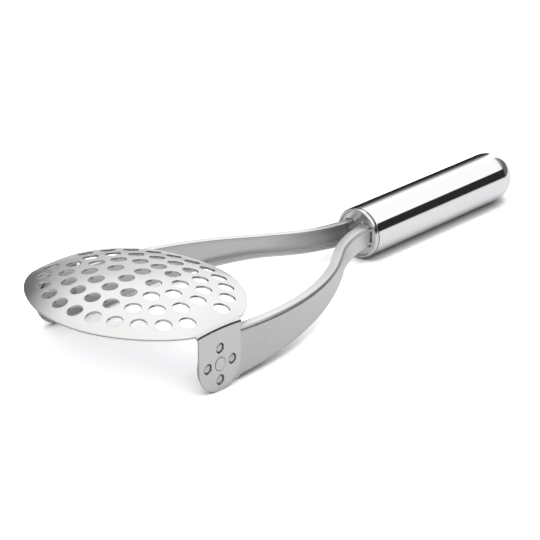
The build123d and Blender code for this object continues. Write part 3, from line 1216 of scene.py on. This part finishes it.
def rivet_mesh(settings):
    """Turned rivet, its flat head up at the tongue's outer face"""
    r = settings.rivets
    web = settings.arms.face - settings.arms.sheet - settings.head.half_span
    foot = web - r.tail_height
    crown = 0.0011
    brim = 0.00015
    profile = [(0, foot), (r.tail - crown, foot)]
    profile += arc((r.tail - crown, foot + crown), crown, -90, 0, 6)[1:]
    profile += [(r.tail, web), (r.shank, web), (r.shank, -r.cone), (r.head, -r.shoulder)]
    profile += [(r.head, r.proud - brim)]
    profile += arc((r.head - brim, r.proud - brim), brim, 0, 90, 3)[1:]
    profile += [(r.head * 0.5, r.proud), (0, r.proud)]
    return turned_mesh("rivet_one", profile, RIVET_SEGMENTS)


class MASHER_OT_rivets(bpy.types.Operator):
    """The two pivot rivets, set by a node tree"""

    bl_idname = "masher.rivets"
    bl_label = "Pivot rivets"

    def execute(self, context):
        settings = context.scene.masher
        metal = finish_for(settings.finish, "rivet")
        out = settings.head.half_span
        spots = [(hinge + Vector((0, side * out, 0)), (0, side, 0)) for side in (1, -1)]
        mesh = set_pieces("pivot_rivets", spots, rivet_mesh(settings), 0.0, metal)
        nodes = ["pivot_rivet_left", "pivot_rivet_right"]
        finish_piece("turned_rivets", mesh, metal, "handle_and_arms", nodes)
        return {"FINISHED"}


class MASHER_OT_welds(bpy.types.Operator):
    """Eight weld beads where the arms meet the plug, set by a node tree"""

    bl_idname = "masher.welds"
    bl_label = "Weld beads"

    def execute(self, context):
        settings = context.scene.masher
        arms = settings.arms
        rivets = settings.rivets
        metal = finish_for(settings.finish, "rivet")
        face = settings.handle.front + settings.handle.recess
        web = ArmLine(arms).offset(face)
        lift = rivets.bead_lift
        beads = [(web + lift, arms.root_half - arms.bend)]
        beads += [(web - arms.flange - lift, arms.root_half + lift)]
        spots = []
        for up in (-1, 1):
            for side in (-1, 1):
                for y, z in beads:
                    spots.append((hinge + Vector((face, side * y, up * z)), (-1, 0, 0)))
        profile = [(0, 0)] + arc((0, 0), rivets.bead, 0, 90, 6)
        small = turned_mesh("bead_one", profile, BEAD_SEGMENTS)
        mesh = set_pieces("weld_beads", spots, small, 1.0, metal)
        finish_piece("small_welds", mesh, metal, "handle_and_arms", ["arm_welds"])
        return {"FINISHED"}


# Handle

# Painted shade in the groove behind the lip
GROOVE_SHADE = 0.9
TUBE_STEP = 0.004
TUBE_LEAD = 0.0005  # front edge of the tube to its first even ring
BORE_STEP = 0.01
FACE_RING = 0.003  # lip to the ring of points on the plug's flat face
SLOT_LEAD = 0.002  # how far the slot tool stands out of that face


def along_handle(mesh):
    """Turns a shape made about Z so that its height runs along the handle"""
    turn = Matrix.Rotation(math.radians(90), 4, "Y")
    mesh.transform(Matrix.Translation(Vector((0, 0, hinge.z))) @ turn)
    mesh.transform(Matrix.Translation(Vector((hinge.x, 0, 0))))
    return mesh


def shade_groove(mesh, sizes, front):
    """Attribute that paints shade on the faces of the groove behind the lip"""

    def cut(face):
        x, y, z = face.center - Vector((0, 0, hinge.z))
        within = front - sizes.seam - SOFT < x < front + SOFT / 2
        return GROOVE_SHADE if within and math.hypot(y, z) < sizes.radius - SOFT / 10 else 0.0

    mark(mesh, "cut", cut)


def rounded_end(radius, depth, rear):
    """Profile of a rounded end, from its rim to its tip"""
    swings = [math.radians(step * 3) for step in range(31)]
    return [(radius * math.cos(swing), rear + depth * math.sin(swing)) for swing in swings]


class MASHER_OT_tube(bpy.types.Operator):
    """Hollow handle tube with a rounded end"""

    bl_idname = "masher.tube"
    bl_label = "Handle tube"

    def execute(self, context):
        settings = context.scene.masher
        h = settings.handle
        metal = finish_for(settings.finish, "handle")
        front = h.front + h.lip + h.seam
        rear = front + h.tube
        bore = h.radius - h.wall
        profile = [(bore, front + SOFT)]
        profile += arc((h.radius - SOFT, front + SOFT), SOFT, 270, 360, 4)
        profile += [(h.radius, z) for z in grid(front + TUBE_LEAD, rear, TUBE_STEP)]
        profile += rounded_end(h.radius, h.end, rear)[1:]
        profile += reversed(rounded_end(bore, h.end - h.wall, rear))
        profile += [(bore, z) for z in grid(rear, front + SOFT, -BORE_STEP)[1:]]
        mesh = along_handle(turned_mesh("tube_steel", profile, HANDLE_SEGMENTS))
        shade_groove(mesh, h, hinge.x + front + SOFT)
        nodes = ["handle_tube"]
        finish_piece("polished_tube", mesh, metal, "handle_and_arms", nodes)
        return {"FINISHED"}


def slot_tool(settings, line):
    """Two channel-shaped prisms, a little larger than the arms where they meet the plug"""
    h = settings.handle
    arm = settings.arms
    face = h.front + h.recess
    outer = line.offset(face)
    gap = h.slot_gap
    inner = outer - arm.flange - gap
    corner = arm.bend + gap
    wide = outer + h.slot_wide
    high = arm.root_half + gap
    bend = (outer - arm.bend, arm.root_half - arm.bend)
    upper = [(inner, arm.root_half - arm.sheet - gap)]
    upper += arc(bend, arm.bend - arm.sheet - gap, 90, 0, 5)
    outside = arc((wide - corner, high - corner), corner, 0, 90, 6) + [(inner, high)]
    ring = [(y, -up) for y, up in reversed(outside)] + outside
    ring += upper + [(y, -up) for y, up in reversed(upper)]
    count = len(ring)
    points = []
    faces = []
    for side in (1, -1):
        start = len(points)
        for x in (face - SLOT_LEAD, face + h.slot_depth):
            points += [hinge + Vector((x, side * y, up)) for y, up in ring]
        faces += [tuple(range(first, first + count)) for first in (start, start + count)]
        for index in range(count):
            after = (index + 1) % count
            near = (start + index, start + after)
            faces.append((*near, start + count + after, start + count + index))
    return mesh_of("slot_tool", points, faces)


def slotted():
    """Node tree that cuts the slots into the plug's face"""
    bench, given = new_tree("slotted", Object=("Tool",))
    cut = bench.cut_away(given["Geometry"], bench.shape_of(given["Tool"]))
    return end_tree(bench, cut, given["Material"])


class MASHER_OT_plug(bpy.types.Operator):
    """Lipped plug in the front of the tube"""

    bl_idname = "masher.plug"
    bl_label = "Handle plug"

    def execute(self, context):
        settings = context.scene.masher
        h = settings.handle
        metal = finish_for(settings.finish, "plug")
        face = h.front + h.recess
        seam = h.front + h.lip
        front = seam + h.seam
        bore = h.radius - h.wall
        inner = h.radius - h.lip_width
        lip = h.front + h.lip_round
        profile = [(0, face), (inner - FACE_RING, face), (inner - SOFT, face)]
        profile += arc((inner - SOFT, face - SOFT), SOFT, 90, 0, 3)
        profile += arc((inner + h.lip_round, lip), h.lip_round, 180, 270, 8)
        profile += arc((h.radius - h.lip_round, lip), h.lip_round, 270, 360, 8)
        profile += [(h.radius, seam - SOFT)]
        profile += arc((h.radius - SOFT, seam - SOFT), SOFT, 0, 90, 3)
        profile += [(h.radius - h.seam_depth, seam), (h.radius - h.seam_depth, front)]
        profile += [(bore, front), (bore, front + h.skirt)]
        profile += [(bore - h.plug_sheet, front + h.skirt)]
        profile += [(bore - h.plug_sheet, face + h.plug_sheet), (0, face + h.plug_sheet)]
        steel_mesh = along_handle(turned_mesh("plug_steel", profile, HANDLE_SEGMENTS))
        tool = linked("slot_tool", slot_tool(settings, ArmLine(settings.arms)))
        values = {"Tool": tool, "Material": metal}
        mesh = baked(linked("plug_blank", steel_mesh), slotted(), values)
        shade_groove(mesh, h, hinge.x + front)
        nodes = ["handle_plug"]
        finish_piece("lipped_plug", mesh, metal, "handle_and_arms", nodes)
        return {"FINISHED"}


# Stage

SOFTBOX_STOPS = [(0.054, 0.12), (0.077, 0.246), (0.10, 0.408), (0.15, 0.535), (0.198, 0.627)]
SOFTBOX_STOPS += [(0.292, 0.75), (0.385, 0.895), (0.477, 0.94), (0.615, 0.97)]
SOFTBOX_STOPS += [(0.785, 0.993), (0.908, 0.873)]

# Parts of the sky in reflections. A pair is where a part starts and where it is full, along one
# axis of the direction that a reflection looks in. A gain adds to the brightness, a loss takes
# that share of it away.
SOFTBOX_SLANT = (0.740, 0.538, 0.404)  # how it brightens to the right, the front and the top
SOFTBOX_FRONT = -0.6  # least that it brightens towards the front
SOFTBOX_BASE = 0.1
SOFTBOX_RANGE = 1.3
TOP_BAND = (0.38, 0.60)
TOP_GAIN = 0.35
CORNER_BACK = (0.70, 0.80)
CORNER_RIGHT = (0.36, 0.46)
CORNER_LOSS = 0.8
FRONT_BAND = (-0.02, 0.02)
WALL_TOP = (0.405, 0.425)
SIDE_BAND = (0.75, 0.775)
SIDE_TURN = (0.961, 0.276)  # cosine and sine of the angle at which the right wall ends
SIDE_EDGE = (-0.015, 0.015)
SIDE_FADE = (0.30, 0.65)
SIDE_LOSS = 0.3
FAR_RIGHT = (0.76, 0.82)
FAR_LOSS = 0.1
WINDOW_FOOT = (0.46, 0.62)
WINDOW_TOP = (0.75, 0.9)
FRONT_LOSS = 0.9  # less light for the floor from low in front

# The floor. Pairs are in metres from the middle of the masher.
FLOOR_REACH = 4
# The floor's brightness in reflections varies by place: painted light
FLOOR_ALONG = (-0.15, 0.15)
ALONG_GAIN = 0.2
FLOOR_AHEAD = (0.08, 0.42)
AHEAD_LOSS = 0.45
FLOOR_BEHIND = (0.06, 0.25)
BEHIND_LOSS = 0.3
CONTACT_REACH = 0.008  # how near a thing paints a contact shadow on the floor
CONTACT_BAND = (0.25, 0.88)
CONTACT_LEAST = 0.32  # brightness of the painted contact shadow where a thing touches the floor
MIRRORED_LEAST = 0.6  # share of it that a reflection of that shadow keeps

# The dark card, the lamp and the camera
CARD_BACK = 0.03
CARD_ENDS = (0.045, 0.178)
CARD_TOP = 0.072
CARD_FADE = 0.030  # height at which the card begins to fade
LAMP_AT = (-0.15, -0.2, 1.3)
LAMP_SIZE = 1.4
CAMERA_AT = (-0.73667, -0.67110, 0.44566)
CAMERA_AIM = (-0.03433, -0.01286, 0.02083)


def studio_sky(stage):
    """World: white to the camera, plain to the floor, softboxes and dark walls in reflections"""
    world = bpy.data.worlds.new("studio")
    world.use_nodes = True
    world.node_tree.nodes.clear()
    world.cycles.sampling_method = "NONE"
    bpy.context.scene.world = world
    bench = Bench(world.node_tree)
    right, back, up = bench.parts(bench.add("ShaderNodeTexCoord")["Generated"])

    # The softbox brightens towards the upper right in front, and less in the far left corner
    rightwards, frontwards, upwards = SOFTBOX_SLANT
    slant = right * rightwards - back * frontwards + up * upwards
    slant = slant.most(back * SOFTBOX_FRONT)
    corner = back.rise(*CORNER_BACK) * (1 - right.rise(*CORNER_RIGHT))
    top = up.rise(*TOP_BAND) * TOP_GAIN * (1 - corner * CORNER_LOSS)
    open_share = (slant + top + SOFTBOX_BASE) / SOFTBOX_RANGE
    softbox = bench.add("ShaderNodeValToRGB", {"Fac": open_share}, stops=SOFTBOX_STOPS)["Color"]

    # Dark walls stand low in front and to the right
    front = 1 - back.rise(*FRONT_BAND)
    high = up.rise(*WALL_TOP)
    past = (back * SIDE_TURN[0] - right * SIDE_TURN[1]).rise(*SIDE_EDGE)
    side_wall = right.rise(*SIDE_BAND) * (1 - past) * (1 - up.rise(*SIDE_FADE) * SIDE_LOSS)
    dark = (front * (1 - high)).most(side_wall) * (1 - right.rise(*FAR_RIGHT) * FAR_LOSS)
    wall = softbox * stage.softbox * (1 - dark) + dark * stage.wall
    above = up > 0.0
    seen = wall * above + (1 - above)

    # What lights the floor and the matt side of things: plain, with a window high in front
    lifted = up.rise(*WINDOW_FOOT)
    window = front * lifted * (1 - up.rise(*WINDOW_TOP)) * stage.window
    plain = (1 - front * (1 - lifted) * FRONT_LOSS) * stage.sky + window

    light = bench.add("ShaderNodeLightPath")
    camera = light["Is Camera Ray"]
    straight = 1 - (light["Diffuse Depth"] > 0.5)
    mirrored = (1 - camera) * (1 - light["Is Diffuse Ray"]) * straight
    strength = camera + mirrored * seen + (1 - camera) * (1 - mirrored) * plain
    inputs = {"Color": (1, 1, 1, 1), "Strength": strength}
    sky = bench.add("ShaderNodeBackground", inputs)["Background"]
    bench.add("ShaderNodeOutputWorld", {"Surface": sky})


def stage_sheet(name, corners, material):
    """Flat four-cornered stage object"""
    mesh = bpy.data.meshes.new(name)
    mesh.from_pydata(corners, [], [(0, 1, 2, 3)])
    mesh.materials.append(material)
    sheet = linked(name, mesh)
    return sheet


def white_floor(stage):
    """Floor that shows white to the camera and in the metal, keeps its shadows and has painted
    contact shadows
    """
    material, bench = new_finish("white_floor")
    light = bench.add("ShaderNodeLightPath")
    along, back, _ = bench.parts(bench.place())
    # Painted light in reflections: the floor that the metal sees is brighter towards +X and darker
    # ahead and behind
    ahead = (back * -1.0).rise(*FLOOR_AHEAD)
    mirrored = along.rise(*FLOOR_ALONG) * ALONG_GAIN + (stage.floor_mirror - ALONG_GAIN / 2)
    mirrored = mirrored * (1 - ahead * AHEAD_LOSS)
    mirrored = mirrored * (1 - back.rise(*FLOOR_BEHIND) * BEHIND_LOSS)
    # Painted contact shadow: ambient occlusion darkens the floor's colour near things
    inputs = {"Distance": CONTACT_REACH}
    nearby = bench.add("ShaderNodeAmbientOcclusion", inputs, samples=8)["AO"]
    shade = nearby.rise(*CONTACT_BAND) * (1 - CONTACT_LEAST) + CONTACT_LEAST
    times = light["Is Camera Ray"] * (shade * stage.floor_camera - 1)
    soft = shade * (1 - MIRRORED_LEAST) + MIRRORED_LEAST
    times = times + light["Is Glossy Ray"] * (soft * mirrored - 1) + 1
    tint = bench.scaled(tuple(stage.floor_colour), times)
    matt = bench.add("ShaderNodeBsdfDiffuse", {"Color": tint})["BSDF"]
    bench.add("ShaderNodeOutputMaterial", {"Surface": matt})
    r = FLOOR_REACH
    stage_sheet("floor", [(-r, -r, 0), (r, -r, 0), (r, r, 0), (-r, r, 0)], material)


def dark_card(stage):
    """Low card close behind the handle that only reflections see; it fades out at its top"""
    material, bench = new_finish("dark_card")
    _, _, height = bench.parts(bench.place())
    clear = bench.add("ShaderNodeBsdfTransparent")["BSDF"]
    inputs = {"Color": (1, 1, 1, 1), "Strength": stage.wall}
    black = bench.add("ShaderNodeEmission", inputs)["Emission"]
    inputs = {0: height.rise(CARD_FADE, CARD_TOP), 1: black, 2: clear}
    mix = bench.add("ShaderNodeMixShader", inputs)[0]
    bench.add("ShaderNodeOutputMaterial", {"Surface": mix})
    low, high = CARD_ENDS
    corners = [(low, 0), (high, 0), (high, CARD_TOP), (low, CARD_TOP)]
    card = stage_sheet("card", [(x, CARD_BACK, z) for x, z in corners], material)
    card.visible_camera = False
    card.visible_diffuse = False
    card.visible_shadow = False


def aimed(name, data, place, target):
    """Lamp or camera at a place, turned towards its target"""
    made = linked(name, data)
    made.location = place
    aim = Vector(target) - made.location
    made.rotation_euler = aim.to_track_quat("-Z", "Y").to_euler()
    return made


class MASHER_OT_stage(bpy.types.Operator):
    """White floor, plain studio light and the camera"""

    bl_idname = "masher.stage"
    bl_label = "Stage"

    def execute(self, context):
        stage = context.scene.masher.stage
        studio_sky(stage)
        white_floor(stage)
        dark_card(stage)
        lamp = bpy.data.lights.new("soft_lamp", "AREA")
        lamp.shape = "DISK"
        lamp.size = LAMP_SIZE
        lamp.energy = stage.lamp
        aimed("soft_lamp", lamp, LAMP_AT, (0, 0, 0)).visible_glossy = False
        lens = bpy.data.cameras.new("camera")
        lens.lens = stage.lens
        lens.sensor_width = 36
        context.scene.camera = aimed("camera", lens, CAMERA_AT, CAMERA_AIM)
        context.scene.view_settings.view_transform = "Standard"
        return {"FINISHED"}


class MASHER_PT_panel(bpy.types.Panel):
    """Buttons that build the masher piece by piece"""

    bl_idname = "MASHER_PT_panel"
    bl_label = "Potato masher"
    bl_space_type = "VIEW_3D"
    bl_region_type = "UI"
    bl_category = "Masher"

    def draw(self, context):
        for piece in BUILD_ORDER:
            self.layout.operator(piece.bl_idname)


BUILD_ORDER = (
    MASHER_OT_stage,
    MASHER_OT_head,
    MASHER_OT_arms,
    MASHER_OT_rivets,
    MASHER_OT_welds,
    MASHER_OT_tube,
    MASHER_OT_plug,
)

SIZE_GROUPS = (
    MasherHead,
    MasherHoles,
    MasherArms,
    MasherRivets,
    MasherHandle,
    MasherFinish,
    MasherStage,
    MasherSettings,
)

CLASSES = SIZE_GROUPS + BUILD_ORDER + (MASHER_PT_panel,)


def register():
    """Makes the sizes, the operators and the panel known to Blender"""
    for group in CLASSES:
        bpy.utils.register_class(group)
    bpy.types.Scene.masher = bpy.props.PointerProperty(type=MasherSettings)


def unregister():
    """Takes them away again"""
    del bpy.types.Scene.masher
    for group in reversed(CLASSES):
        bpy.utils.unregister_class(group)


def main():
    """Builds the masher"""
    register()
    bpy.ops.masher.stage()
    bpy.ops.masher.head()
    bpy.ops.masher.arms()
    bpy.ops.masher.rivets()
    bpy.ops.masher.welds()
    bpy.ops.masher.tube()
    bpy.ops.masher.plug()


if __name__ == "__main__":
    main()
